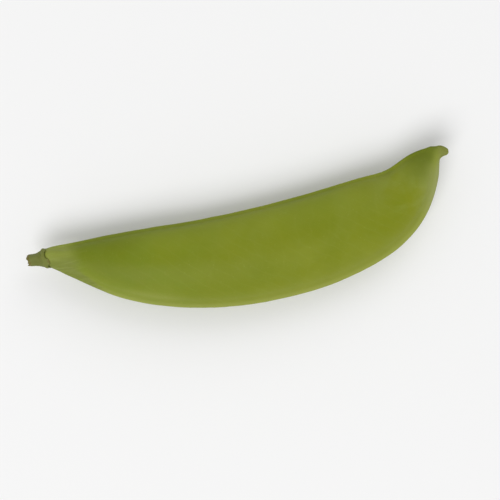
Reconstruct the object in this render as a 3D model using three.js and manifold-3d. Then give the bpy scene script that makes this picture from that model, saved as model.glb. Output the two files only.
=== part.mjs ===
// A sugar snap pea, picked and lying on its side, in millimetres, +Z up.
//
// The pod is one grown solid: two fleshy valves that meet at two seams, a neck at the stem end and
// a beak at the other. +X runs from the stem end to the beak, +Y points to the ventral seam, the
// nearly straight one that the peas hang from, and -Y to the dorsal seam, the round one.
// The stem stub is the short end of the stalk with the torn ring of the calyx.
// The origin is under the middle of the object's box, on the surface that it lies on.
import * as THREE from "three";
import { mergeVertices } from "three/addons/utils/BufferGeometryUtils.js";
import Module from "manifold-3d";

const wasm = await Module();
wasm.setup();

// Driving dimensions. The sections and the stub's outline below share one frame, which has its
// origin at the stub's broken end and its X axis on the line from there to the beak's tip.
const NECK_X = 3.2; // where the pod's neck face stands
const STUB_GAP = 0.1; // clearance between the neck face and the stub
const SEAM_PINCH = 1.06; // 1 is an elliptical section, more pinches it towards the seams
const VENTRAL_BIAS = 0.14; // how much fuller the section is on the ventral side, where the peas hang
const PEA_COUNT = 7;
const PEA_FIRST_X = 19;
const PEA_SPACING = 8.2;
const PEA_ACROSS = 0.2; // a pea's place between the section's middle, 0, and the ventral seam, 1
const PEA_REACH = 3.1; // how far a pea's swelling spreads over the valve
const PEA_RISE = 0.38; // how much it lifts the valve
const REST_FLAT = 0.2; // depth of the flat that the pod's weight presses where it lies
const POD_FACETS = { around: 36, along: 56 };
const STUB_FACETS = 20;

// Sections of the pod from neck to beak: x, y and z of a point on the ventral seam, x, y and z of
// the point across from it on the dorsal seam, and half of the pod's thickness there.
// The end sections are single points, which close the shape. The pod lies rolled a little towards
// its ventral seam, so the dorsal seam stands higher.
const SECTIONS = [
  [NECK_X, -0.2, 0.45, NECK_X, -0.2, 0.45, 0],
  [NECK_X, 1.6, 0.5, NECK_X, -2.0, 0.45, 1.7],
  [4.7, 1.8, 0.45, 4.5, -2.8, 0.5, 2.05],
  [8.6, 1.35, 0.2, 8.0, -5.5, 0.6, 2.65],
  [13.6, 1.05, 0.0, 12.1, -9.3, 0.65, 3.45],
  [20.2, 0.55, -0.15, 18.6, -13.25, 0.65, 4.3],
  [29.0, -0.5, -0.3, 27.5, -16.45, 0.7, 5.0],
  [38.0, -1.2, -0.3, 37.0, -18.55, 0.75, 5.3],
  [47.0, -1.45, -0.25, 46.6, -19.2, 0.8, 5.35],
  [56.0, -1.25, -0.15, 56.0, -18.6, 0.85, 5.15],
  [63.0, -1.0, 0.0, 64.0, -16.8, 0.9, 4.6],
  [67.4, -1.35, 0.15, 69.9, -13.9, 0.95, 3.85],
  [70.2, -0.35, 0.3, 73.5, -10.7, 1.0, 3.0],
  [72.7, 0.8, 0.5, 75.8, -7.2, 1.1, 2.1],
  [75.2, 1.15, 0.8, 77.3, -4.1, 1.2, 1.35],
  [77.3, 1.2, 1.1, 78.0, -2.15, 1.35, 0.9],
  [78.8, 1.15, 1.35, 78.7, -1.7, 1.45, 0.72],
  [79.8, 0.7, 1.5, 79.5, -1.5, 1.5, 0.55],
  [80.1, -0.45, 1.55, 80.1, -0.45, 1.55, 0],
];

// Outline of the stub from the middle of its broken end to the middle of the face at the neck, as
// [distance along it, radius]. The calyx ring is its wide end.
const STUB_OUTLINE = [
  [0.25, 0],
  [0.0, 0.6],
  [0.15, 0.98],
  [0.6, 1.12],
  [1.5, 1.15],
  [2.2, 1.3],
  [2.6, 1.6],
  [2.85, 1.85],
  [NECK_X - STUB_GAP, 1.7],
  [NECK_X - STUB_GAP, 0],
];

// The section past a, as far from it as b is on its other side, so that the curve ends at a.
const beyond = (a, b) => a.map((value, i) => 2 * value - b[i]);
const GUIDES = [
  beyond(SECTIONS.at(0), SECTIONS.at(1)),
  ...SECTIONS,
  beyond(SECTIONS.at(-1), SECTIONS.at(-2)),
];

// The section at t, from 0 at the neck to 1 at the tip, on a cubic B-spline that follows the
// sections more smoothly than they were set down.
function sectionAt(t) {
  const spans = SECTIONS.length - 1;
  const span = Math.min(Math.floor(t * spans), spans - 1);
  const f = t * spans - span;
  const weights = [
    (1 - f) ** 3 / 6,
    (3 * f ** 3 - 6 * f ** 2 + 4) / 6,
    (1 + 3 * f + 3 * f ** 2 - 3 * f ** 3) / 6,
    f ** 3 / 6,
  ];
  return SECTIONS[0].map((_, i) => weights.reduce((sum, weight, k) => sum + weight * GUIDES[span + k][i], 0));
}

// How far the peas lift the valve at a point of the pod that is x along it and u across it, where
// u runs from -1 at the dorsal seam to 1 at the ventral seam and halfWidth is the section's.
function peaRise(x, u, halfWidth) {
  let rise = 0;
  for (let i = 0; i < PEA_COUNT; i += 1) {
    const along = x - (PEA_FIRST_X + i * PEA_SPACING);
    const across = (u - PEA_ACROSS) * halfWidth;
    rise += Math.exp(-(along ** 2 + across ** 2) / (2 * PEA_REACH ** 2));
  }
  return PEA_RISE * rise;
}

// A point of the pod's surface, from the neck at t = 0 to the beak's tip at t = 1, and round by
// angle from the ventral seam at 0, over the upper valve, to the dorsal seam at pi and back under.
function podPoint(t, angle) {
  const section = sectionAt(t);
  const ventral = new THREE.Vector3(...section.slice(0, 3));
  const dorsal = new THREE.Vector3(...section.slice(3, 6));
  const half = section[6];
  const u = Math.cos(angle);
  const side = Math.sin(angle);
  const middle = new THREE.Vector3().addVectors(ventral, dorsal).divideScalar(2);
  const reach = new THREE.Vector3().subVectors(ventral, dorsal).divideScalar(2);
  const point = middle.addScaledVector(reach, u);
  const rise = half * (1 + VENTRAL_BIAS * u) + peaRise(point.x, u, reach.length()) * Math.min(half, 1);
  point.z += Math.sign(side) * rise * Math.abs(side) ** SEAM_PINCH;
  point.x = Math.max(point.x, NECK_X);
  return point;
}

// A closed geometry with shared corners, as a solid that can be cut.
function solidOf(geometry) {
  geometry.deleteAttribute("normal");
  geometry.deleteAttribute("uv");
  const merged = mergeVertices(geometry);
  const mesh = new wasm.Mesh({
    numProp: 3,
    vertProperties: merged.getAttribute("position").array,
    triVerts: merged.index.array,
  });
  return new wasm.Manifold(mesh);
}

// A sphere's grid with every corner moved to its place on the pod, then cut flat underneath.
function podGeometry() {
  const { around, along } = POD_FACETS;
  const geometry = new THREE.SphereGeometry(1, around, along);
  const position = geometry.getAttribute("position");
  for (let row = 0; row <= along; row += 1) {
    const t = 1 - row / along;
    const isTip = row === 0 || row === along;
    for (let column = 0; column <= around; column += 1) {
      const angle = isTip ? 0 : ((column % around) / around) * 2 * Math.PI;
      const point = podPoint(t, angle);
      position.setXYZ(row * (around + 1) + column, point.x, point.y, point.z);
    }
  }
  geometry.computeBoundingBox();
  const { min, max } = geometry.boundingBox;
  const margin = 1;
  const below = new THREE.BoxGeometry(max.x - min.x + margin, max.y - min.y + margin, margin);
  below.translate((min.x + max.x) / 2, (min.y + max.y) / 2, min.z + REST_FLAT - margin / 2);
  const mesh = solidOf(geometry).subtract(solidOf(below)).getMesh();
  const pod = new THREE.BufferGeometry();
  pod.setAttribute("position", new THREE.BufferAttribute(mesh.vertProperties, 3));
  pod.setIndex(new THREE.BufferAttribute(mesh.triVerts, 1));
  return pod;
}

function stubGeometry() {
  const outline = STUB_OUTLINE.map(([along, radius]) => new THREE.Vector2(radius, along));
  const geometry = new THREE.LatheGeometry(outline, STUB_FACETS);
  geometry.rotateZ(-Math.PI / 2);
  return geometry;
}

const skin = new THREE.MeshStandardMaterial({ color: 0x7f8f2e, roughness: 0.5, metalness: 0 });
const pod = new THREE.Mesh(podGeometry(), skin);
pod.name = "pod";

const stalk = new THREE.MeshStandardMaterial({ color: 0x97a05c, roughness: 0.75, metalness: 0 });
const stub = new THREE.Mesh(stubGeometry(), stalk);
stub.name = "stem_stub";
stub.position.set(0, SECTIONS[0][1], SECTIONS[0][2]);

const pea = new THREE.Group();
pea.add(pod, stub);

// The group is moved so that the origin lies under the middle of its box.
const box = new THREE.Box3().setFromObject(pea, true);
const middle = box.getCenter(new THREE.Vector3());
pea.position.set(-middle.x, -middle.y, -box.min.z);

export default pea;
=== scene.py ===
import math

import bpy
import numpy as np
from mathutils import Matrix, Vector, noise


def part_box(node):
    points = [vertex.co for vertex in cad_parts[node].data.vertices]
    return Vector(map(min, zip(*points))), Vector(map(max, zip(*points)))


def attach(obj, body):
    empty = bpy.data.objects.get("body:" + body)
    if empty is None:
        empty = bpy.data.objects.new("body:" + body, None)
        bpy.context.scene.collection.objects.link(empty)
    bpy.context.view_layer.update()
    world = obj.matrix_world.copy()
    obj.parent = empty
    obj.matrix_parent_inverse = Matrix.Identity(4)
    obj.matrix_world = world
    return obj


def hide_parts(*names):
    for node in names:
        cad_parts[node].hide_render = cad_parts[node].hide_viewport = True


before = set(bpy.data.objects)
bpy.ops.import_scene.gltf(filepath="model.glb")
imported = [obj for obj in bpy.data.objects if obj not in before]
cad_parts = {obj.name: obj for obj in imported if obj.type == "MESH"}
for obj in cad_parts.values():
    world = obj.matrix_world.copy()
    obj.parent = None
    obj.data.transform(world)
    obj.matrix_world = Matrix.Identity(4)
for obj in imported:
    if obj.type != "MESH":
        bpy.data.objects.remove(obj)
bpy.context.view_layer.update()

# ------------------------------------------------------------------------------------------------
# The pod: the whole fruit, grown as one piece, two thick juicy valves closed over a row of young
# peas. They meet at the ventral seam, a grooved double rib that the peas hang from, and at the pale
# single rib of the dorsal seam. One end narrows to a solid neck, the other to a hooked beak.
MM = 0.001

# Sections from the neck to the tip of the beak, in millimetres from the broken end of the stalk:
# x, y and z of the ventral seam, x, y and z of the dorsal seam, and half of the pod's thickness.
POD_SECTIONS = np.array([
    (3.2, 1.25, 0.50, 3.2, -1.65, 0.45, 1.4),
    (3.6, 1.65, 0.50, 3.5, -2.05, 0.45, 1.75),
    (4.9, 1.75, 0.45, 4.7, -2.8, 0.5, 2.05),
    (8.6, 1.35, 0.20, 8.0, -5.5, 0.6, 2.65),
    (13.6, 1.05, 0.00, 12.1, -9.3, 0.65, 3.45),
    (20.2, 0.55, -0.15, 18.6, -13.25, 0.65, 4.3),
    (29.0, -0.5, -0.30, 27.5, -16.45, 0.70, 5.0),
    (38.0, -1.2, -0.30, 37.0, -18.55, 0.75, 5.3),
    (47.0, -1.45, -0.25, 46.6, -19.2, 0.80, 5.35),
    (56.0, -1.25, -0.15, 56.0, -18.6, 0.85, 5.15),
    (63.0, -1.0, 0.00, 64.0, -16.8, 0.90, 4.6),
    (67.4, -1.35, 0.15, 69.9, -13.9, 0.95, 3.85),
    (70.2, -0.35, 0.30, 73.5, -10.7, 1.00, 3.0),
    (72.7, 0.8, 0.50, 75.8, -7.2, 1.10, 2.1),
    (75.2, 1.15, 0.80, 77.3, -4.1, 1.20, 1.35),
    (77.2, 1.2, 1.10, 77.95, -2.05, 1.35, 0.88),
    (78.7, 1.05, 1.35, 78.5, -1.35, 1.45, 0.7),
    (79.6, 0.5, 1.50, 79.1, -1.25, 1.50, 0.56),
    (80.1, -0.2, 1.55, 79.55, -1.35, 1.55, 0.42),
])
RING_CORNERS = 40
RING_STEP, FINE_SECTIONS = 0.8, 600  # the fine ones only measure the pod's middle line
CROWDING = 0.2  # how much closer the corners stand at the seams, for the ribs
SEAM_PINCH = 1.25  # 1 is an elliptical section, more draws it in towards the seams
DORSAL_KEEL = 0.15  # how much more it is drawn in at the dorsal seam, and less at the ventral seam
VENTRAL_BIAS = 0.14  # how much fuller the section is on the ventral side, where the peas hang

# Peas: how far along the pod each one lies, and how much it swells the valves.
PEAS = ((15.5, 0.16), (22.8, 0.26), (31.0, 0.32), (39.2, 0.36), (47.6, 0.34), (55.6, 0.36), (63.0, 0.24))
PEA_ACROSS = 0.2  # their row's place between the section's middle, 0, and the ventral seam, 1
PEA_REACH = 3.8

SEAM_RISE = 0.42
SEAMS_RISE_AT, SEAMS_SINK_AT = (0.5, 4), 5  # from the neck, and back from the tip
RIB_APART = 0.58  # from the ventral seam's groove to the top of each of its two ribs
RIB_WIDTH = 0.34
DORSAL_WIDTH = 0.48
CHANNEL_PLACE, CHANNEL_WIDTH = 1.6, 0.6
VENTRAL_CHANNEL, DORSAL_CHANNEL = 0.05, 0.1  # their depths
FURROWS = 9  # lengthwise, round the neck and round the style's remnant
FURROWS_AT, FURROW_REACH, FURROW_DEPTH = 3.5, 3.5, 0.07  # on the neck
UNEVENNESS, UNEVEN_REACH = 0.36, 13
PUCKER_DEPTH, PUCKER_REACH = 0.035, 1.4
STYLE_LENGTH = 1.9  # the dry remnant of the style, at the beak's tip
WAIST_DEPTH, WAIST_REACH = 0.16, 0.45  # where it meets the beak
WRINKLE_DEPTH, WRINKLE_FADE = 0.07, 0.7  # on it, fading out before the tip
HOLLOW_AT, HOLLOW_REACH, HOLLOW_ACROSS = 2.5, 1.9, 1.5  # under the hook, back from the tip
HOLLOW_ROUNDS = 12  # of smoothing

# How far each step that closes an end moves on.
NECK_END, TIP_END = Vector((-0.06, 0, 0)) * MM, Vector((0.07, -0.08, 0.01)) * MM

# The stalk's axis in the sections' own millimetres, which places them in the frame.
STALK_Y, STALK_Z = -0.2, 0.45
stub_low, stub_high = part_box("stem_stub")
stub_middle = (stub_low + stub_high) / 2
PLACE = Vector((stub_low.x, stub_middle.y - STALK_Y * MM, stub_middle.z - STALK_Z * MM))


def section_row(t):
    """The row at t, from 0 at the neck to 1 at the tip, of a B-spline that follows the sections."""
    last = len(POD_SECTIONS) - 1
    i = min(int(t * last), last - 1)
    f = t * last - i
    b, c = POD_SECTIONS[i], POD_SECTIONS[i + 1]
    a = POD_SECTIONS[i - 1] if i > 0 else 2 * b - c
    d = POD_SECTIONS[i + 2] if i < last - 1 else 2 * c - b
    weights = ((1 - f) ** 3, 3 * f**3 - 6 * f**2 + 4, 1 + 3 * f + 3 * f**2 - 3 * f**3, f**3)
    return sum(weight * row for weight, row in zip(weights, (a, b, c, d))) / 6


class Section:
    """One cross-section: its middle, half its width and thickness, and how it rolls and turns."""

    def __init__(self, row):
        ventral, dorsal = Vector(row[0:3]), Vector(row[3:6])
        across = ventral - dorsal
        self.middle = PLACE + (ventral + dorsal) / 2 * MM
        self.half_width = across.length / 2 * MM
        self.half_thickness = row[6] * MM
        self.roll = math.asin(across.z / across.length)
        self.turn = math.atan2(-across.x, across.y)


def turn_selection(angle, axis, centre):
    """Turns what is selected. With no window the operator turns the other way, hence the minus."""
    bpy.ops.transform.rotate(value=-angle, orient_axis=axis, center_override=centre)


def extrude_section(old, new):
    """Extrudes the selected ring from one section to the next."""
    bpy.ops.mesh.extrude_edges_move(TRANSFORM_OT_translate={"value": new.middle - old.middle})
    turn_selection(-old.turn, "Z", new.middle)
    turn_selection(-old.roll, "X", new.middle)
    wider = new.half_width / old.half_width
    thicker = new.half_thickness / old.half_thickness
    bpy.ops.transform.resize(value=(1, wider, thicker), center_override=new.middle)
    turn_selection(new.roll, "X", new.middle)
    turn_selection(new.turn, "Z", new.middle)


def select_corners(piece, chosen):
    """Selects just these corners of the piece, and leaves it in edit mode."""
    bpy.ops.object.mode_set(mode="EDIT")
    bpy.ops.mesh.select_mode(type="VERT")
    bpy.ops.mesh.select_all(action="DESELECT")
    bpy.ops.object.mode_set(mode="OBJECT")
    for i in chosen:
        piece.data.vertices[i].select = True
    bpy.ops.object.mode_set(mode="EDIT")


def close_ring(centre, move):
    """Closes the selected ring by drawing it in over its end, in two steps and then to a point."""
    for share in (0.6, 0.5):
        bpy.ops.mesh.extrude_edges_move(TRANSFORM_OT_translate={"value": move})
        centre = centre + move
        bpy.ops.transform.resize(value=(share,) * 3, center_override=centre)
    bpy.ops.mesh.extrude_edges_move(TRANSFORM_OT_translate={"value": move / 4})
    bpy.ops.mesh.merge(type="COLLAPSE")


def face_outwards():
    bpy.ops.mesh.select_all(action="SELECT")
    bpy.ops.mesh.normals_make_consistent(inside=False)
    bpy.ops.object.mode_set(mode="OBJECT")


def corners_of(piece):
    places = np.empty(len(piece.data.vertices) * 3)
    piece.data.vertices.foreach_get("co", places)
    return places.reshape(-1, 3)


def keep_values(piece, name, values):
    """Stores one number for each corner of the piece."""
    attribute = piece.data.attributes.new(name, "FLOAT", "POINT")
    attribute.data.foreach_set("value", np.asarray(values, dtype=np.float32).ravel())


def keep_zones(piece, four_values):
    """Stores four numbers for each corner of the piece, for its material to read as one colour."""
    attribute = piece.data.color_attributes.new("zones", "FLOAT_COLOR", "POINT")
    attribute.data.foreach_set("color", np.stack(four_values, axis=1).astype(np.float32).ravel())


def kept_values(piece, name):
    values = np.empty(len(piece.data.vertices), dtype=np.float32)
    piece.data.attributes[name].data.foreach_get("value", values)
    return values.astype(float)


def forget_values(piece, names):
    for name in names:
        piece.data.attributes.remove(piece.data.attributes[name])


def finish_modifier(piece, kind, **settings):
    modifier = piece.modifiers.new(kind.title(), kind)
    for name, value in settings.items():
        setattr(modifier, name, value)
    bpy.ops.object.modifier_apply(modifier=modifier.name)


def swell(piece, weights, height):
    """Raises the surface by height, in millimetres, where the weights are 1, and less where less."""
    group = piece.vertex_groups.new(name="swelling")
    for i in np.nonzero(weights > 0.001)[0]:
        group.add([int(i)], float(min(weights[i], 1)), "REPLACE")
    finish_modifier(piece, "DISPLACE", strength=height * MM, mid_level=0, vertex_group="swelling")
    piece.vertex_groups.clear()


def make_uneven(piece, name, reach, height):
    """Lifts and sinks the surface in soft waves, about reach apart and height from low to high."""
    waves = bpy.data.textures.new(name, "CLOUDS")
    waves.noise_scale = reach * MM
    waves.noise_depth = 2
    finish_modifier(
        piece, "DISPLACE", strength=height * MM, mid_level=0.5, texture=waves, texture_coords="LOCAL")


def hump(distance, width):
    return np.exp(-((distance / width) ** 2))


def step(low, high, value):
    """0 below low and 1 above high, and smooth between them."""
    share = np.clip((value - low) / (high - low), 0, 1)
    return share * share * (3 - 2 * share)


# Sections at even steps along the pod's middle line.
fine_t = np.linspace(0, 1, FINE_SECTIONS)
fine = np.array([section_row(t) for t in fine_t])
fine_middle = (fine[:, 0:3] + fine[:, 3:6]) / 2
travelled = np.concatenate([[0], np.cumsum(np.linalg.norm(np.diff(fine_middle, axis=0), axis=1))])
pod_length = travelled[-1]
ring_count = round(pod_length / RING_STEP) + 1
ring_along = np.linspace(0, pod_length, ring_count)
ring_t = np.interp(ring_along, travelled, fine_t)
sections = [Section(section_row(t)) for t in ring_t]


def seam_run(along):
    """1 where the seams' ribs stand, fading to 0 at the neck and at the style."""
    return step(*SEAMS_RISE_AT, along) * step(STYLE_LENGTH, SEAMS_SINK_AT, pod_length - along)


# The ribs stand on the sections, so the sections draw in to leave them room.
for section, at in zip(sections, ring_along):
    section.half_width -= SEAM_RISE * float(seam_run(at)) * MM

bpy.ops.object.select_all(action="DESELECT")
first = sections[0]
bpy.ops.mesh.primitive_circle_add(
    vertices=RING_CORNERS, radius=first.half_width, location=first.middle, rotation=(0, math.pi / 2, 0))
pod = bpy.context.object
pod.name = "sugar_snap_pod"
pod.data.name = "sugar_snap_pod"
bpy.ops.object.transform_apply(location=True, rotation=True, scale=True)
corner_angle = np.arange(RING_CORNERS) / RING_CORNERS * 2 * math.pi
corner_angle -= CROWDING * np.sin(2 * corner_angle)
for i, angle in enumerate(corner_angle):
    u, up = math.cos(angle), math.sin(angle)
    bulge = abs(up) ** (SEAM_PINCH - DORSAL_KEEL * u) * (1 + VENTRAL_BIAS * u)
    rise = math.copysign(bulge, up) * first.half_thickness
    place = first.middle + Vector((0, u * first.half_width, rise))
    select_corners(pod, [i])
    bpy.ops.object.mode_set(mode="OBJECT")
    move = place - pod.data.vertices[i].co
    bpy.ops.object.mode_set(mode="EDIT")
    bpy.ops.transform.translate(value=move)
bpy.ops.mesh.select_all(action="SELECT")
turn_selection(first.roll, "X", first.middle)
turn_selection(first.turn, "Z", first.middle)
for old, new in zip(sections, sections[1:]):
    extrude_section(old, new)
bpy.ops.object.mode_set(mode="OBJECT")

# Each corner of a ring knows how far it is along the pod and, over the skin, from each seam.
rings = corners_of(pod).reshape(ring_count, RING_CORNERS, 3) / MM
side_corners = RING_CORNERS // 2
edges = np.linalg.norm(np.roll(rings, -1, axis=1) - rings, axis=2)
start = np.zeros((ring_count, 1))
over = np.concatenate([start, np.cumsum(edges[:, :side_corners], axis=1)], axis=1)
under = np.concatenate([start, np.cumsum(edges[:, ::-1][:, :side_corners], axis=1)], axis=1)
back_up = slice(-2, 0, -1)
keep_values(pod, "along", np.repeat(ring_along, RING_CORNERS))
keep_values(pod, "from_ventral", np.concatenate([over, under[:, back_up]], axis=1))
over_left, under_left = over[:, -1:] - over, under[:, -1:] - under
keep_values(pod, "from_dorsal", np.concatenate([over_left, under_left[:, back_up]], axis=1))
keep_values(pod, "across", np.tile(np.cos(corner_angle), ring_count))
keep_values(pod, "half_width", np.repeat([s.half_width / MM for s in sections], RING_CORNERS))
keep_values(pod, "side", np.tile(np.sign(np.round(np.sin(corner_angle), 6)), ring_count))
keep_values(pod, "furrow", np.tile(0.5 + 0.5 * np.cos(FURROWS * corner_angle), ring_count))

select_corners(pod, range(RING_CORNERS))
close_ring(first.middle, NECK_END)
select_corners(pod, range((ring_count - 1) * RING_CORNERS, ring_count * RING_CORNERS))
close_ring(sections[-1].middle, TIP_END)
face_outwards()
finish_modifier(pod, "SUBSURF", levels=2, render_levels=2)

along, from_ventral, from_dorsal, across, half_width, side, furrow = (
    kept_values(pod, name)
    for name in ("along", "from_ventral", "from_dorsal", "across", "half_width", "side", "furrow"))

# The peas swell the valves a little, more in the middle of the pod than at its ends.
off_row = (across - PEA_ACROSS) * half_width
peas = sum(rise * hump(np.hypot(along - at, off_row), PEA_REACH) for at, rise in PEAS)
swell(pod, peas / peas.max(), peas.max())

# Two ribs and a groove along the ventral seam, one rib along the dorsal seam, and a shallow
# channel beside each.
seams = seam_run(along)
swell(pod, seams * hump(from_ventral - RIB_APART, RIB_WIDTH), SEAM_RISE)
swell(pod, seams * hump(from_dorsal, DORSAL_WIDTH), SEAM_RISE)
for from_seam, depth in ((from_ventral, VENTRAL_CHANNEL), (from_dorsal, DORSAL_CHANNEL)):
    swell(pod, seams * hump(from_seam - CHANNEL_PLACE, CHANNEL_WIDTH), -depth)

# The neck is furrowed lengthwise, the style's remnant is shrivelled and shrunk where it meets the
# beak, and the valves grew a little unevenly.
from_tip = pod_length - along
swell(pod, furrow * hump(along - FURROWS_AT, FURROW_REACH), -FURROW_DEPTH)
swell(pod, hump(from_tip - STYLE_LENGTH, WAIST_REACH), -WAIST_DEPTH)
shrivelled = step(STYLE_LENGTH + 0.6, STYLE_LENGTH - 0.4, from_tip) * step(0, WRINKLE_FADE, from_tip)
swell(pod, furrow * shrivelled, -WRINKLE_DEPTH)
make_uneven(pod, "uneven_growth", UNEVEN_REACH, UNEVENNESS)
make_uneven(pod, "puckers", PUCKER_REACH, PUCKER_DEPTH)

# The skin runs smoothly round the hollow of the hook.
in_hollow = (np.abs(from_tip - HOLLOW_AT) < HOLLOW_REACH) & (from_dorsal < HOLLOW_ACROSS)
select_corners(pod, np.nonzero(in_hollow)[0])
bpy.ops.mesh.vertices_smooth(factor=0.5, repeat=HOLLOW_ROUNDS)
bpy.ops.object.mode_set(mode="OBJECT")

# The underside is pressed flat by the pod's own weight.
select_corners(pod, np.nonzero(corners_of(pod)[:, 2] < 0)[0])
bpy.ops.transform.resize(value=(1, 1, 0), center_override=(0, 0, 0))
bpy.ops.object.mode_set(mode="OBJECT")
bpy.ops.object.shade_smooth()

# Where the skin's tones lie, in millimetres along it from the neck, back from the beak's tip, or
# over it from a seam, and how strong each one is, as a share.
WANDER = 260  # the patches, in a metre, by which the tones' edges wander
BEAK_FROM, BEAK_FULL, HOOK_FROM = 18, 6, 2.5  # back from the tip
# The pale edge is partly the seam's own paler colour and partly a painted highlight.
EDGE_TONE, EDGE_GAINS, EDGE_REACH, EDGE_FADE = 0.2, (8, 16), 3.0, 0.6  # pale, by the dorsal rib
TOP_TONE, TOP_GAINS, TOP_REACH = 0.25, (5, 13), 0.95  # pale, on that rib's top
TOP_FADE, TOP_FADES_AT = 0.35, (4, 2.5)  # its fading by the tip
WIDER_BY_BEAK = 0.5  # both of these
STREAK_TONE, STREAK_AT, STREAK_LENGTH, STREAK_OFF = 0.34, 19.5, 5, 2.1  # pale, off that rib
VENTRAL_TONE, VENTRAL_GAINS, VENTRAL_REACH = 0.2, (3, 9), 0.45  # pale, on the ventral ribs
NECK_FADE = (3.2, 9.2)  # where the neck's pallor starts to fade, and where it ends
DORSAL_ARM, DORSAL_ARM_REACH = 5.5, 1.5  # how much further it runs along that seam
VENTRAL_ARM, VENTRAL_ARM_REACH = -0.4, 1.6  # less far along this one
# Painted shade: how strong it is and where it lies, beside the neck, along the ventral seam, on the beak's
# ventral side, by the hook and at the shoulder.
NECK_PAINTED_SHADE, NECK_PAINTED_SHADE_FROM, NECK_PAINTED_SHADE_FADE, NECK_PAINTED_SHADE_OFF = 0.48, (4.0, 7.2), (24, 9), (1.2, 6)
SEAM_PAINTED_SHADE, SEAM_PAINTED_SHADE_FROM, SEAM_PAINTED_SHADE_FADE, SEAM_PAINTED_SHADE_REACH = 0.69, (5, 8.5), (36, 12), 2.4
BEAK_PAINTED_SHADE, BEAK_PAINTED_SHADE_FROM, BEAK_PAINTED_SHADE_FADE, BEAK_PAINTED_SHADE_OFF = 0.85, (13, 6), (8.5, 4), (1.0, 3.2)
HOOK_PAINTED_SHADE, HOOK_PAINTED_SHADE_AT, HOOK_PAINTED_SHADE_REACH, HOOK_NARROWS = 0.25, 4.5, 1.8, 1.6
SHOULDER_PAINTED_SHADE, SHOULDER_AT, SHOULDER_LENGTH, SHOULDER_REACH = 0.6, 12.5, 1.9, 2.2
STYLE_EDGE = (STYLE_LENGTH + 0.5, STYLE_LENGTH - 0.6)
NECK_WANDER, SHADE_WANDER, BEAK_WANDER, STYLE_WANDER = 1.4, 1.5, 0.5, 0.3  # of each one's edge
STYLE_FURROWS = 0.3  # how far the style's edge follows its furrows

wander = np.array([noise.noise(place * WANDER) for place in map(Vector, corners_of(pod))])
near_tip = step(BEAK_FROM, BEAK_FULL, from_tip)
by_beak = near_tip * step(HOOK_FROM, BEAK_FULL, from_tip)
by_hook = hump(from_tip - HOOK_PAINTED_SHADE_AT, HOOK_PAINTED_SHADE_REACH)
beak_side = step(*BEAK_PAINTED_SHADE_FADE, from_ventral + BEAK_WANDER * wander + HOOK_NARROWS * by_hook)
in_beak = step(*BEAK_PAINTED_SHADE_FROM, from_tip) * beak_side * step(*BEAK_PAINTED_SHADE_OFF, from_dorsal)

# The ribs: a pale edge beside the dorsal one, partly the seam's own paler colour and partly a
# painted highlight, which fades towards the hook, a paler line on its top, a streak off it past the
# neck, and a faint line on each of the ventral ones.
pale_edge_and_highlight = EDGE_TONE * (1 + step(*EDGE_GAINS, along) + by_beak)
pale_edge_and_highlight = pale_edge_and_highlight * hump(from_dorsal, EDGE_REACH + WIDER_BY_BEAK * by_beak)
pale_edge_and_highlight = pale_edge_and_highlight * (1 - EDGE_FADE * (near_tip - by_beak)) * (1 - EDGE_FADE * in_beak)
rib_top = TOP_TONE + (1 - TOP_TONE) * step(*TOP_GAINS, along)
rib_top = rib_top * hump(from_dorsal, TOP_REACH + WIDER_BY_BEAK * by_beak)
rib_top = rib_top * (1 - TOP_FADE * step(*TOP_FADES_AT, from_tip))
pale_streak = STREAK_TONE * hump(along - STREAK_AT, STREAK_LENGTH) * hump(from_dorsal - STREAK_OFF, 1)
ventral_ribs = hump(from_ventral - RIB_APART, VENTRAL_REACH) * step(*VENTRAL_GAINS, along)
ventral_ribs = VENTRAL_TONE * ventral_ribs * (1 - near_tip)
pale_ribs_and_highlight = np.maximum.reduce([rib_top, pale_edge_and_highlight + pale_streak, ventral_ribs])

# The neck's pallor, and painted shade, a darker green, beside it, along the ventral seam, on the
# beak's ventral side, more so by the hook, and at the shoulder before the beak.
dorsal_arm = DORSAL_ARM * hump(from_dorsal, DORSAL_ARM_REACH)
ventral_arm = VENTRAL_ARM * hump(from_ventral, VENTRAL_ARM_REACH)
neck = 1 - step(*NECK_FADE, along - (dorsal_arm + ventral_arm) + NECK_WANDER * wander)
by_neck = step(*NECK_PAINTED_SHADE_FROM, along) * step(*NECK_PAINTED_SHADE_FADE, along + SHADE_WANDER * wander)
by_neck = by_neck * step(*NECK_PAINTED_SHADE_OFF, from_dorsal)
by_seam = step(*SEAM_PAINTED_SHADE_FROM, along) * step(*SEAM_PAINTED_SHADE_FADE, along)
by_seam = by_seam * hump(from_ventral, SEAM_PAINTED_SHADE_REACH)
at_shoulder = hump(from_tip - SHOULDER_AT, SHOULDER_LENGTH) * hump(from_ventral, SHOULDER_REACH)
painted_shade = np.maximum.reduce([
    NECK_PAINTED_SHADE * by_neck, SEAM_PAINTED_SHADE * by_seam, (BEAK_PAINTED_SHADE + HOOK_PAINTED_SHADE * by_hook) * in_beak,
    SHOULDER_PAINTED_SHADE * at_shoulder])
style = step(*STYLE_EDGE, from_tip - STYLE_WANDER * wander + STYLE_FURROWS * furrow)

# What the skin's colours follow: red for the pale ribs and the painted highlight beside the dorsal
# one, green for the neck, blue for the painted shade, and alpha for the style's remnant. The skin's
# own map holds millimetres along it and from the ventral seam, and keeps its two sides apart.
SIDES_APART = 20
keep_zones(pod, (pale_ribs_and_highlight, neck, painted_shade, style))
skin_map = pod.data.attributes.new("skin_map", "FLOAT_VECTOR", "POINT")
skin_map.data.foreach_set(
    "vector", np.stack([along, from_ventral, side * SIDES_APART], axis=1).astype(np.float32).ravel())
forget_values(pod, ("along", "from_ventral", "from_dorsal", "across", "half_width", "side", "furrow"))


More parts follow.
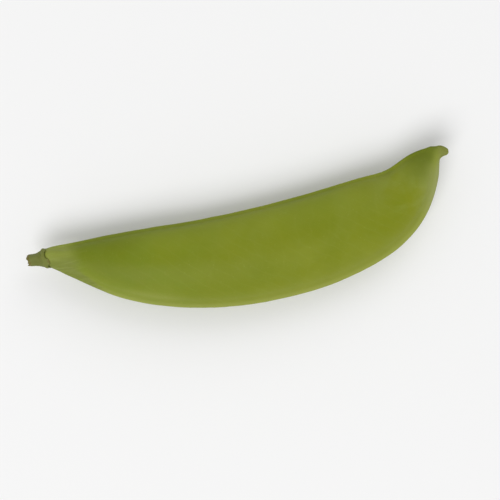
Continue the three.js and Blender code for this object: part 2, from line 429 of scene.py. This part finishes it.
def add_node(tree, kind, inputs, **settings):
    """Adds a node with its settings. An input is a value, or another node's output to link."""
    node = tree.nodes.new("ShaderNode" + kind)
    for name, value in settings.items():
        setattr(node, name, value)
    for name, value in inputs.items():
        if isinstance(value, bpy.types.NodeSocket):
            tree.links.new(value, node.inputs[name])
        else:
            node.inputs[name].default_value = value
    return node


def srgb(red, green, blue):
    """A colour given as it looks, from 0 to 255, in the linear values that a shader takes."""
    shares = (c / 255 for c in (red, green, blue))
    return tuple(((c + 0.055) / 1.055) ** 2.4 if c > 0.04 else c / 12.92 for c in shares) + (1,)


COLOUR_A, COLOUR_B, COLOUR_OUT = 6, 7, 2  # the Mix node's sockets for colours


def mix_colours(tree, share, first_colour, second_colour):
    colours = {COLOUR_A: first_colour, COLOUR_B: second_colour}
    node = add_node(tree, "Mix", {0: share} | colours, data_type="RGBA")
    return node.outputs[COLOUR_OUT]


def ramp(tree, value, low, high, out_low=0.0, out_high=1.0):
    """Maps value from low..high to out_low..out_high, smoothly and held at both ends."""
    node = add_node(tree, "MapRange", {"Value": value, "From Min": low, "From Max": high,
                                       "To Min": out_low, "To Max": out_high},
                    interpolation_type="SMOOTHSTEP")
    return node.outputs["Result"]


def calculate(tree, operation, a, b):
    node = add_node(tree, "Math", {0: a, 1: b}, operation=operation)
    return node.outputs[0]


def times(tree, a, b):
    return calculate(tree, "MULTIPLY", a, b)


def make_plant_surface():
    """The grown surface of pod and stalk: soft mottling, a waxy bloom that is rubbed off in places,
    small pale specks and a fine grain."""
    group = bpy.data.node_groups.new("plant_surface", "ShaderNodeTree")
    group.interface.new_socket("Vector", in_out="INPUT", socket_type="NodeSocketVector")
    for name in ("Mottle Scale", "Speck Scale"):
        group.interface.new_socket(name, in_out="INPUT", socket_type="NodeSocketFloat")
    for name in ("Mottle", "Bloom", "Specks", "Grain"):
        group.interface.new_socket(name, in_out="OUTPUT", socket_type="NodeSocketFloat")
    given = group.nodes.new("NodeGroupInput")
    result = group.nodes.new("NodeGroupOutput")
    where, mottle_scale, speck_scale = (given.outputs[n] for n in ("Vector", "Mottle Scale", "Speck Scale"))
    mottle = add_node(group, "TexNoise", {"Vector": where, "Scale": mottle_scale, "Detail": 4.0})
    bloom = add_node(group, "TexNoise", {"Vector": where, "Scale": times(group, mottle_scale, 0.35),
                                         "Detail": 6.0, "Roughness": 0.62, "Distortion": 0.6})
    specks = add_node(group, "TexVoronoi", {"Vector": where, "Scale": speck_scale})
    picked = add_node(group, "SeparateColor", {"Color": specks.outputs["Color"]}).outputs["Red"]
    dot = ramp(group, specks.outputs["Distance"], 0.3, 0.02)
    grain = add_node(group, "TexNoise", {"Vector": where, "Scale": times(group, speck_scale, 2.2),
                                         "Detail": 4.0, "Roughness": 0.6})
    results = {"Mottle": ramp(group, mottle.outputs["Fac"], 0.3, 0.7),
               "Bloom": ramp(group, bloom.outputs["Fac"], 0.4, 0.62),
               "Specks": times(group, dot, ramp(group, picked, 0.35, 1.0)),
               "Grain": grain.outputs["Fac"]}
    for name, value in results.items():
        group.links.new(value, result.inputs[name])
    return group


plant_surface = make_plant_surface()


def new_material(name):
    material = bpy.data.materials.new(name)
    material.use_nodes = True
    tree = material.node_tree
    return material, tree, tree.nodes["Principled BSDF"]


# The skin's colours, and how strongly each that lies over the others shows, as a share.
GREEN_DEEP, GREEN_LIGHT = srgb(112, 124, 10), srgb(124, 132, 14)
GREEN_FRESH, FRESH_SHARE = srgb(111, 130, 14), 0.55
GREEN_MOTTLE, MOTTLE_SHARE = srgb(117, 127, 15), 0.6
GREEN_BRIGHT, BRIGHT_SHARE = srgb(140, 152, 44), 0.32
VEIN_PALE, VEIN_SHARE = srgb(138, 148, 56), 0.1
WAX, WAX_SHARE, WAX_BY_BEAK = srgb(146, 158, 84), 0.09, 0.3
GREEN_SHADED, SHADED_SHARE = srgb(94, 106, 10), 0.85
# The pale rib colours also paint the highlight beside the dorsal rib.
RIB_AND_HIGHLIGHT_PALE, RIB_AND_HIGHLIGHT_GREY, RIB_SHARE = srgb(148, 155, 74), srgb(150, 155, 98), 0.8
NECK_PALE, NECK_SHADED, PALLOR_SHARE = srgb(135, 144, 61), srgb(115, 124, 49), 0.9
STRAND_PALE, STRAND_SHARE = srgb(147, 154, 82), 0.4
SPECK_PALE, SPECK_SHARE = srgb(158, 168, 86), 0.16
STYLE_DRY, STYLE_BROWN, STYLE_SHARE = srgb(119, 125, 57), srgb(104, 94, 48), 0.8

# Where some of them start and where they are full, in millimetres along the skin or, for the ones
# that end in OFF, from the ventral seam.
FRESH_GAINS, WAX_GAINS, RIBS_TURN_GREY = (34, 12), (61, 68), (69, 74)
NECK_SHADE, NECK_SHADE_OFF = (12, 8), (2.5, 5.0)
BRIGHT_BY_NECK, BRIGHT_BY_BEAK, BRIGHT_NEAR_OFF, BRIGHT_FAR_OFF = (15, 24), (64, 56), (1.6, 3.2), (10, 5)

MOTTLES, SPECKS = 260, 1700  # to a metre
BROAD_PATCHES = 45.0
VEIN_ANGLE, VEIN_SPACING, VEIN_WINDING = 48, 1.9, 3.2  # degrees, millimetres, and how they wind
JOINING_ANGLE, JOINING_SPACING, JOINING_WINDING = -15, 2.9, 7.0
STRAND_STRETCH = (0.18, 2.4, 1)  # along the neck and round it
SKIN_RELIEF = 0.03  # the depth of its grain, veins and strands, in millimetres

skin, tree, shader = new_material("pod_skin")
place = add_node(tree, "TexCoord", {}).outputs["Object"]
zone = add_node(tree, "Attribute", {}, attribute_name="zones")
zone_parts = add_node(tree, "SeparateColor", {"Color": zone.outputs["Color"]})
# Blue holds the painted shade, and red the pale ribs with the painted highlight beside the dorsal one.
rib_and_highlight_zone, neck_zone, painted_shade_zone = (zone_parts.outputs[name] for name in ("Red", "Green", "Blue"))
style_zone = zone.outputs["Alpha"]
surface = add_node(tree, "Group", {}, node_tree=plant_surface)
tree.links.new(place, surface.inputs["Vector"])
surface.inputs["Mottle Scale"].default_value = MOTTLES
surface.inputs["Speck Scale"].default_value = SPECKS

# Hardly paler veins leave the ventral seam slantwise, and others join them here and there.
skin_place = add_node(tree, "Attribute", {}, attribute_name="skin_map").outputs["Vector"]


def slanted_veins(angle, spacing, winding):
    turned = add_node(tree, "Mapping", {"Vector": skin_place, "Rotation": (0, 0, math.radians(angle))})
    waves = add_node(tree, "TexWave", {"Vector": turned.outputs[0], "Scale": math.pi / 10 / spacing,
                                       "Distortion": winding, "Detail": 2.0, "Detail Scale": 1.2})
    return ramp(tree, waves.outputs["Fac"], 0.9, 1.0)


patches = add_node(tree, "TexNoise", {"Vector": skin_place, "Scale": 0.22, "Detail": 3.0}).outputs["Fac"]
main_veins = slanted_veins(VEIN_ANGLE, VEIN_SPACING, VEIN_WINDING)
main_veins = times(tree, main_veins, ramp(tree, patches, 0.3, 0.6, 0.3, 1.0))
joining_veins = slanted_veins(JOINING_ANGLE, JOINING_SPACING, JOINING_WINDING)
joining_veins = times(tree, joining_veins, ramp(tree, patches, 0.65, 0.4, 0.0, 0.6))
veins = calculate(tree, "MAXIMUM", main_veins, joining_veins)

# Strands of fibre run lengthwise through the neck, and its pallor thins out along them.
lengthwise = add_node(tree, "Mapping", {"Vector": skin_place, "Scale": STRAND_STRETCH})
strands = add_node(tree, "TexNoise", {"Vector": lengthwise.outputs[0], "Scale": 1.0, "Detail": 3.0})
frayed = calculate(tree, "SUBTRACT", neck_zone, times(tree, strands.outputs["Fac"], 0.7))
pallor = ramp(tree, frayed, -0.16, 0.5)
neck_strands = times(tree, neck_zone, ramp(tree, strands.outputs["Fac"], 0.45, 0.7))

broad = add_node(tree, "TexNoise", {"Vector": place, "Scale": BROAD_PATCHES, "Detail": 2.0})
skin_parts = add_node(tree, "SeparateXYZ", {"Vector": skin_place})
along_skin, off_ventral = skin_parts.outputs["X"], skin_parts.outputs["Y"]

# The skin is a little brighter beside the ventral ribs, except at both ends.
beside_ribs = times(tree, ramp(tree, off_ventral, *BRIGHT_NEAR_OFF), ramp(tree, off_ventral, *BRIGHT_FAR_OFF))
mid_length = times(tree, ramp(tree, along_skin, *BRIGHT_BY_NECK), ramp(tree, along_skin, *BRIGHT_BY_BEAK))
beside_ribs = times(tree, beside_ribs, mid_length)

# The ribs and the painted highlight beside the dorsal one turn greyer by the beak, the neck has
# painted shade on its dorsal side, and the style is browned in spots.
rib_and_highlight_colour = mix_colours(tree, ramp(tree, along_skin, *RIBS_TURN_GREY), RIB_AND_HIGHLIGHT_PALE, RIB_AND_HIGHLIGHT_GREY)
neck_shade = times(tree, ramp(tree, off_ventral, *NECK_SHADE_OFF), ramp(tree, along_skin, *NECK_SHADE))
neck_colour = mix_colours(tree, neck_shade, NECK_PALE, NECK_SHADED)
browned = ramp(tree, surface.outputs["Grain"], 0.45, 0.75, 0.0, 0.7)
style_colour = mix_colours(tree, browned, STYLE_DRY, STYLE_BROWN)

colour = mix_colours(tree, ramp(tree, broad.outputs["Fac"], 0.35, 0.65), GREEN_DEEP, GREEN_LIGHT)
fresh = ramp(tree, along_skin, *FRESH_GAINS, 0.0, FRESH_SHARE)
colour = mix_colours(tree, fresh, colour, GREEN_FRESH)
wax_share = ramp(tree, along_skin, *WAX_GAINS, WAX_SHARE, WAX_BY_BEAK)
for where, share, tone in (
        (surface.outputs["Mottle"], MOTTLE_SHARE, GREEN_MOTTLE),
        (beside_ribs, BRIGHT_SHARE, GREEN_BRIGHT),
        (veins, VEIN_SHARE, VEIN_PALE),
        (surface.outputs["Bloom"], wax_share, WAX),
        # Painted shade, a darker green, where the blue zone is.
        (painted_shade_zone, SHADED_SHARE, GREEN_SHADED),
        # The pale ribs, with the painted highlight beside the dorsal one.
        (rib_and_highlight_zone, RIB_SHARE, rib_and_highlight_colour),
        (pallor, PALLOR_SHARE, neck_colour),
        (neck_strands, STRAND_SHARE, STRAND_PALE),
        (surface.outputs["Specks"], SPECK_SHARE, SPECK_PALE),
        (style_zone, STYLE_SHARE, style_colour)):
    colour = mix_colours(tree, times(tree, where, share), colour, tone)
tree.links.new(colour, shader.inputs["Base Color"])

WAXED, RUBBED = (0.5,) * 3 + (1,), (0.62,) * 3 + (1,)
tree.links.new(mix_colours(tree, surface.outputs["Bloom"], WAXED, RUBBED), shader.inputs["Roughness"])
relief = calculate(tree, "ADD", times(tree, veins, 0.3), times(tree, surface.outputs["Grain"], 0.3))
relief = calculate(tree, "ADD", relief, times(tree, neck_strands, 0.6))
bump = add_node(tree, "Bump", {"Strength": 0.5, "Distance": SKIN_RELIEF * MM, "Height": relief})
tree.links.new(bump.outputs["Normal"], shader.inputs["Normal"])
shader.inputs["Specular IOR Level"].default_value = 0.19
shader.inputs["Subsurface Weight"].default_value = 0.12
shader.inputs["Subsurface Radius"].default_value = (0.5, 0.8, 0.2)
shader.inputs["Subsurface Scale"].default_value = 1.5 * MM
pod.data.materials.append(skin)

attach(pod, "root")
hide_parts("pod")

# ------------------------------------------------------------------------------------------------
# The stem stub: the short end of the tough, fibrous stalk, which snapped when the pod was picked.
# It widens into a ring, which is grown onto the pod's neck and carries five torn stumps of sepals.
STUB_CORNERS = 20
AXIS = PLACE + Vector((0, STALK_Y, STALK_Z)) * MM

# From the ring's inner edge, inside the neck, over the ring and back along the stalk to the hollow
# of its broken end: millimetres from that end, and radius.
STUB_OUTLINE = (
    (3.35, 1.3), (3.5, 1.72), (3.35, 1.93), (3.05, 1.95), (2.75, 1.78), (2.4, 1.5), (1.95, 1.28),
    (1.5, 1.17), (1.0, 1.13), (0.6, 1.14), (0.28, 1.1), (0.08, 0.98), (0.04, 0.84), (0.2, 0.68),
    (0.34, 0.46), (0.3, 0.24),
)
# The torn sepals: the corner of the ring that each begins at, how many corners it takes, how far it
# reaches over the neck, and how far it stands off.
SEPALS = ((1, 2, 0.35, 0.1), (5, 3, 0.55, 0.08), (9, 2, 0.3, 0.12), (13, 3, 0.6, 0.06), (17, 2, 0.4, 0.1))
# The torn fibres: the corner of the end that each begins at, how many corners it takes, and how far
# it stands out.
END_RING = 11  # the outline's point that they stand on
FIBRES = (
    (0, 1, 0.1), (2, 2, 0.18), (6, 1, 0.15), (8, 2, 0.22), (12, 1, 0.1), (14, 1, 0.2), (17, 2, 0.12))
STALK_RIBS, STALK_RIB_DEPTH = 5, 0.07
RIBS_SINK_AT, RIBS_OUTSIDE = (3.0, 2.2), (0.7, 1.0)  # along the stalk, and from its axis
GROOVE_AT, GROOVE_REACH, GROOVE_DEPTH = 2.6, 0.18, 0.08  # round the stalk, where its ring begins
GROOVE_OUTSIDE = (1.2, 1.6)
GROWTH_REACH, GROWTH_HEIGHT = 1.6, 0.16
FIBRE_REACH, FIBRE_HEIGHT = 0.3, 0.07
ROUGHNESS, ROUGH_DEPTH = 7000, 0.09  # of the broken face: its lumps to a metre, and their depth
BLOTCHES, BLOTCH_SPREAD = 3200, 0.4  # to a metre, and how far the dried parts' edges wander by them
TORN_FADE, TIPS_DRY_FROM = (0.9, 0.1), (3.4, 4.0)  # along it: the broken end, the sepals' tips
PITH_EDGE, PITH_FADE = (0.75, 0.5), (1.2, 0.6)  # from its axis, and along it
RING_FROM = (2.4, 3.0)
STALK_BEND, BEND_FROM = 0.37, 2.8  # the stalk bends this far towards the ventral seam
RING_END, BROKEN_END = Vector((0.03, 0, 0)) * MM, Vector((0.02, 0, 0)) * MM  # each closing step


def stalk_bend(x):
    return STALK_BEND * step(BEND_FROM, 0, x)


def select_quads(piece, first_ring, corners):
    """Selects the faces between this ring of the outline and the next, from these corners on."""
    bpy.ops.object.mode_set(mode="EDIT")
    bpy.ops.mesh.select_mode(type="FACE")
    bpy.ops.mesh.select_all(action="DESELECT")
    bpy.ops.object.mode_set(mode="OBJECT")
    for corner in corners:
        ends = [corner % STUB_CORNERS, (corner + 1) % STUB_CORNERS]
        quad = {end + ring * STUB_CORNERS for end in ends for ring in (first_ring, first_ring + 1)}
        for face in piece.data.polygons:
            if set(face.vertices) == quad:
                face.select = True
    bpy.ops.object.mode_set(mode="EDIT")


bpy.ops.object.select_all(action="DESELECT")
x, radius = STUB_OUTLINE[0]
middle = AXIS + Vector((x, stalk_bend(x), 0)) * MM
bpy.ops.mesh.primitive_circle_add(
    vertices=STUB_CORNERS, radius=radius * MM, location=middle, rotation=(0, math.pi / 2, 0))
stub = bpy.context.object
stub.name = "stem_end"
stub.data.name = "stem_end"
bpy.ops.object.transform_apply(location=True, rotation=True, scale=True)
bpy.ops.object.mode_set(mode="EDIT")
bpy.ops.mesh.select_all(action="SELECT")
for x, new_radius in STUB_OUTLINE[1:]:
    new_middle = AXIS + Vector((x, stalk_bend(x), 0)) * MM
    bpy.ops.mesh.extrude_edges_move(TRANSFORM_OT_translate={"value": new_middle - middle})
    bpy.ops.transform.resize(value=(1,) + (new_radius / radius,) * 2, center_override=new_middle)
    middle, radius = new_middle, new_radius
close_ring(middle, BROKEN_END)
select_corners(stub, range(STUB_CORNERS))
close_ring(AXIS + Vector((STUB_OUTLINE[0][0], 0, 0)) * MM, RING_END)
face_outwards()

# Each sepal grows in two steps from the ring's front face, and narrows towards its tip.
ring_front, ring_radius = STUB_OUTLINE[1][0], STUB_OUTLINE[2][1]
for first_corner, width, reach, lift in SEPALS:
    angle = (first_corner + width / 2) / STUB_CORNERS * 2 * math.pi
    outwards = Vector((0, math.cos(angle), math.sin(angle)))
    tip = AXIS + Vector((ring_front + reach, 0, 0)) * MM + outwards * ring_radius * MM
    select_quads(stub, 1, range(first_corner, first_corner + width))
    for share in (0.55, 0.45):
        move = (Vector((reach, 0, 0)) + outwards * lift) * share * MM
        bpy.ops.mesh.extrude_region_move(TRANSFORM_OT_translate={"value": move})
        bpy.ops.transform.resize(value=(0.8, 0.78, 0.78), center_override=tip)
    bpy.ops.object.mode_set(mode="OBJECT")

for first_corner, width, length in FIBRES:
    select_quads(stub, END_RING, range(first_corner, first_corner + width))
    bpy.ops.mesh.extrude_region_move(TRANSFORM_OT_translate={"value": (-length * MM, 0, 0)})
    bpy.ops.object.mode_set(mode="OBJECT")

finish_modifier(stub, "SUBSURF", levels=3, render_levels=3)
stub_along, off_axis, above_axis = ((corners_of(stub) - np.array(AXIS)) / MM).T
off_axis = off_axis - stalk_bend(stub_along)
stub_angle = np.arctan2(above_axis, off_axis)
stub_radius = np.hypot(off_axis, above_axis)
on_stalk = step(*RIBS_SINK_AT, stub_along) * step(*RIBS_OUTSIDE, stub_radius)
swell(stub, on_stalk * (0.5 + 0.5 * np.cos(STALK_RIBS * stub_angle)), STALK_RIB_DEPTH)
groove = hump(stub_along - GROOVE_AT, GROOVE_REACH) * step(*GROOVE_OUTSIDE, stub_radius)
swell(stub, groove, -GROOVE_DEPTH)
make_uneven(stub, "stalk_growth", GROWTH_REACH, GROWTH_HEIGHT)
make_uneven(stub, "fibres", FIBRE_REACH, FIBRE_HEIGHT)

# The broken face is rough.
torn = step(*TORN_FADE, stub_along)
rough = np.array([noise.noise(place * ROUGHNESS) for place in map(Vector, corners_of(stub))])
swell(stub, torn * np.clip(rough, 0, 1), -ROUGH_DEPTH)
bpy.ops.object.shade_smooth()

# What the stalk's colours follow: red for where it is torn and dried, green for the pith, and blue
# for the ring.
blotches = np.array([noise.noise(place * BLOTCHES) for place in map(Vector, corners_of(stub))])
blotched_along = stub_along + BLOTCH_SPREAD * blotches
dried_parts = np.maximum(step(*TORN_FADE, blotched_along), step(*TIPS_DRY_FROM, blotched_along))
pith = step(*PITH_EDGE, stub_radius) * step(*PITH_FADE, stub_along)
ring = step(*RING_FROM, stub_along)
keep_zones(stub, (dried_parts, pith, ring, np.ones(len(ring))))

STALK_GREEN, STALK_GREY = srgb(98, 105, 38), srgb(110, 116, 56)
RING_GREEN, RING_SHARE = srgb(114, 121, 50), 0.6
STALK_BROWN, FIBRE_SHARE, DRIED_SHARE = srgb(110, 100, 52), 0.45, 0.75
PITH_PALE, PITH_SHARE = srgb(140, 141, 84), 0.8
STALK_DARK, DARK_SHARE = srgb(80, 70, 38), 0.2
STALK_MOTTLES, STALK_SPECKS = 900, 5200  # to a metre
FIBRE_STRETCH = (600, 7000, 7000)  # along the stalk and across it
STALK_RELIEF = 0.04  # the depth of its grain and fibres, in millimetres

stalk, tree, shader = new_material("stalk")
place = add_node(tree, "TexCoord", {}).outputs["Object"]
zone = add_node(tree, "Attribute", {}, attribute_name="zones")
zone_parts = add_node(tree, "SeparateColor", {"Color": zone.outputs["Color"]})
torn_zone, pith_zone, ring_zone = (zone_parts.outputs[name] for name in ("Red", "Green", "Blue"))
surface = add_node(tree, "Group", {}, node_tree=plant_surface)
tree.links.new(place, surface.inputs["Vector"])
surface.inputs["Mottle Scale"].default_value = STALK_MOTTLES
surface.inputs["Speck Scale"].default_value = STALK_SPECKS
drawn_out = add_node(tree, "Mapping", {"Vector": place, "Scale": FIBRE_STRETCH})
fibre_noise = add_node(tree, "TexNoise", {"Vector": drawn_out.outputs[0], "Scale": 1.0, "Detail": 3.0})
fibres = fibre_noise.outputs["Fac"]
colour = mix_colours(tree, surface.outputs["Mottle"], STALK_GREEN, STALK_GREY)
colour = mix_colours(tree, times(tree, ring_zone, RING_SHARE), colour, RING_GREEN)
colour = mix_colours(tree, ramp(tree, fibres, 0.52, 0.72, 0.0, FIBRE_SHARE), colour, STALK_BROWN)
frayed = calculate(tree, "SUBTRACT", torn_zone, times(tree, fibres, 0.6))
dried = ramp(tree, frayed, 0.0, 0.5)
colour = mix_colours(tree, times(tree, dried, DRIED_SHARE), colour, STALK_BROWN)
colour = mix_colours(tree, times(tree, pith_zone, PITH_SHARE), colour, PITH_PALE)
colour = mix_colours(tree, times(tree, surface.outputs["Specks"], DARK_SHARE), colour, STALK_DARK)
tree.links.new(colour, shader.inputs["Base Color"])
DRY, GREEN_DULL = (0.85,) * 3 + (1,), (0.62,) * 3 + (1,)
tree.links.new(mix_colours(tree, dried, GREEN_DULL, DRY), shader.inputs["Roughness"])
relief = calculate(tree, "ADD", fibres, times(tree, surface.outputs["Grain"], 0.5))
bump = add_node(tree, "Bump", {"Strength": 0.7, "Distance": STALK_RELIEF * MM, "Height": relief})
tree.links.new(bump.outputs["Normal"], shader.inputs["Normal"])
shader.inputs["Specular IOR Level"].default_value = 0.25
stub.data.materials.append(stalk)

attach(stub, "root")
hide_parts("stem_stub")

# ------------------------------------------------------------------------------------------------
# The table and the room: a wide sheet of matt off-white paper under the pod, and a plain room of
# the same tone round it, which lights it evenly from all sides.
PAPER = 0.88
PAPER_SIZE, PAPER_DROP = 6, 0.05 * MM  # the drop keeps it clear of the pod's flat
ROOM_LIGHT = 0.56

bpy.ops.object.select_all(action="DESELECT")
bpy.ops.mesh.primitive_plane_add(size=PAPER_SIZE, location=(0, 0, -PAPER_DROP))
floor = bpy.context.object
floor.name = "floor"
paper, tree, shader = new_material("pale_paper")
shader.inputs["Base Color"].default_value = (PAPER, PAPER, PAPER, 1)
shader.inputs["Roughness"].default_value = 0.9
shader.inputs["Specular IOR Level"].default_value = 0.0
floor.data.materials.append(paper)

room = bpy.data.worlds.new("room")
bpy.context.scene.world = room
room.use_nodes = True
tree = room.node_tree
seen = add_node(tree, "LightPath", {})
seen_at_all = calculate(tree, "MAXIMUM", seen.outputs["Is Camera Ray"], seen.outputs["Is Glossy Ray"])
seen_at_all = calculate(tree, "MAXIMUM", seen_at_all, seen.outputs["Is Transmission Ray"])
brightness = ramp(tree, seen_at_all, 0.0, 1.0, ROOM_LIGHT, PAPER)
tree.nodes["Background"].inputs["Color"].default_value = (1, 1, 1, 1)
tree.links.new(brightness, tree.nodes["Background"].inputs["Strength"])

# ------------------------------------------------------------------------------------------------
# The lamps: two wide soft boxes, the key over the pod's dorsal side and stalk end, and a weak fill
# across from it.
# Each lamp's place and width in metres, and its power in watts.
KEY = ((-0.84, -1.02, 1.8), 1.5, 26)
FILL = ((1.2, 1.35, 1.5), 1.8, 10)

for name, (position, size, power) in (("key", KEY), ("fill", FILL)):
    bpy.ops.object.light_add(type="AREA", location=position)
    lamp = bpy.context.object
    lamp.name = name
    lamp.data.shape = "DISK"
    lamp.data.size = size
    lamp.data.energy = power
    lamp.rotation_mode = "QUATERNION"
    lamp.rotation_quaternion = (-Vector(position)).to_track_quat("-Z", "Y")

# ------------------------------------------------------------------------------------------------
# The camera: straight above the pod and looking down on it, turned so that the beak points to the
# right and a little up.
CAMERA_HEIGHT, CAMERA_LENS = 0.224, 85
TILT = math.radians(15.25)

bpy.ops.object.camera_add(location=(0, 0, CAMERA_HEIGHT), rotation=(0, 0, -TILT))
camera = bpy.context.object
camera.data.lens = CAMERA_LENS
camera.data.clip_start = 0.01
camera.data.clip_end = 20
bpy.context.scene.camera = camera
bpy.context.scene.view_settings.view_transform = "Standard"
